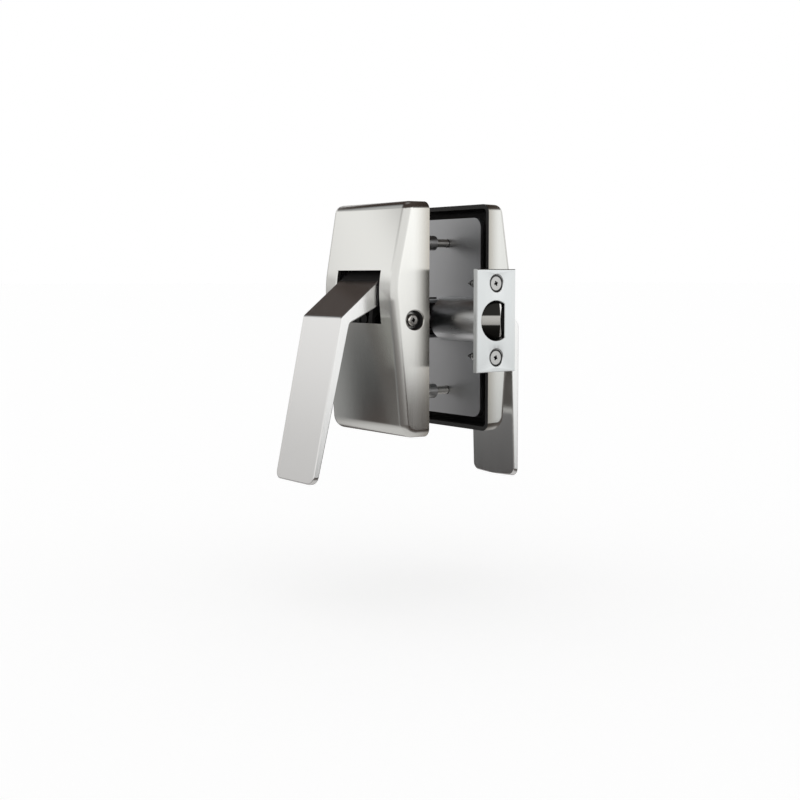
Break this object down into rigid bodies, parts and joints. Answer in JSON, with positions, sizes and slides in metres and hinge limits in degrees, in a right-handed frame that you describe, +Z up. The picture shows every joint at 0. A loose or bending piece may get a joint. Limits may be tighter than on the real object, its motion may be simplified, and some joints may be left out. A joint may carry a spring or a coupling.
{
  "type": "hospital door latch",
  "caption": "Push and pull door latch with a paddle on each side of the door, covers, and a spring bolt worked through a rocker.",
  "frame": {"origin": "on the latch's centreline in the middle of the pull-side cover, on the pull face of the door", "axes": "+X to the door's edge and the bolt, +Y into the door towards the push side, +Z up"},
  "size_m": [0.1079, 0.1537, 0.1662],
  "materials": {
    "satin_cover": "satin brushed",
    "satin_paddle": "satin brushed",
    "satin_faceplate": "satin brushed",
    "screw_steel": "bright",
    "turned_steel": "turned",
    "plated_steel": "zinc plated",
    "bolt_metal": "satin",
    "spring_steel": "drawn wire",
    "bush_bronze": "sintered"
  },
  "bodies": {
    "door_set": {"pull_cover": "satin_cover", "pull_mounting_plate": "plated_steel", "pull_hinge_pin": "turned_steel", "pull_pin_clip": "turned_steel", "pull_cover_screw_right": "screw_steel", "pull_cover_screw_left": "screw_steel", "pull_guide_bush": "bush_bronze", "threaded_post_upper": "plated_steel", "threaded_post_lower": "plated_steel", "through_bolt_upper": "screw_steel", "through_bolt_lower": "screw_steel", "rocker_stud_upper": "turned_steel", "rocker_stud_lower": "turned_steel", "chassis_frame": "plated_steel", "bolt_spring": "spring_steel", "latch_tube": "plated_steel", "tube_end_bush": "bush_bronze", "latch_faceplate": "satin_faceplate", "faceplate_screw_upper": "screw_steel", "faceplate_screw_lower": "screw_steel", "push_cover": "satin_cover", "push_mounting_plate": "plated_steel", "push_hinge_pin": "turned_steel", "push_pin_clip": "turned_steel", "push_cover_screw_right": "screw_steel", "push_cover_screw_left": "screw_steel", "push_guide_bush": "bush_bronze"},
    "pull_paddle": {"pull_paddle": "satin_paddle"},
    "push_paddle": {"push_paddle": "satin_paddle"},
    "actuator": {"actuator_rod": "turned_steel", "rod_end_pin_pull": "turned_steel", "rod_end_pin_push": "turned_steel", "rod_cross_pin": "turned_steel"},
    "rocker": {"rocker": "plated_steel"},
    "latch_bolt": {"latch_bolt": "bolt_metal", "tailpiece": "plated_steel", "tailpiece_rivet": "turned_steel"}
  },
  "joints": [
    {"name": "pull_paddle_hinge", "type": "hinge", "parent": "door_set", "child": "pull_paddle", "pos_m": [0, -0.011, 0.0228], "axis": [1, 0, 0], "range_deg": [0, 12.1]},
    {"name": "push_paddle_hinge", "type": "hinge", "parent": "door_set", "child": "push_paddle", "pos_m": [0, 0.05545, 0.0228], "axis": [1, 0, 0], "range_deg": [0, 12.1]},
    {"name": "actuator_slide", "type": "slide", "parent": "door_set", "child": "actuator", "axis": [0, 1, 0], "range_m": [0, 0.00484]},
    {"name": "rocker_swing", "type": "hinge", "parent": "door_set", "child": "rocker", "pos_m": [-0.00419, 0.03631, 0], "axis": [0, 0, 1], "range_deg": [0, 60]},
    {"name": "latch_bolt_slide", "type": "slide", "parent": "door_set", "child": "latch_bolt", "axis": [1, 0, 0], "range_m": [0, 0.0151], "stiffness_N_per_m": 300, "springref_m": 0.03, "deforming": ["bolt_spring"]}
  ],
  "couplings": [
    {"joint": "push_paddle_hinge", "follows": "pull_paddle_hinge", "ratio": 1},
    {"joint": "actuator_slide", "follows": "pull_paddle_hinge", "m_per_rad": 0.022885},
    {"joint": "rocker_swing", "follows": "pull_paddle_hinge", "ratio": 4.9587},
    {"joint": "latch_bolt_slide", "follows": "pull_paddle_hinge", "m_per_rad": 0.071501}
  ]
}
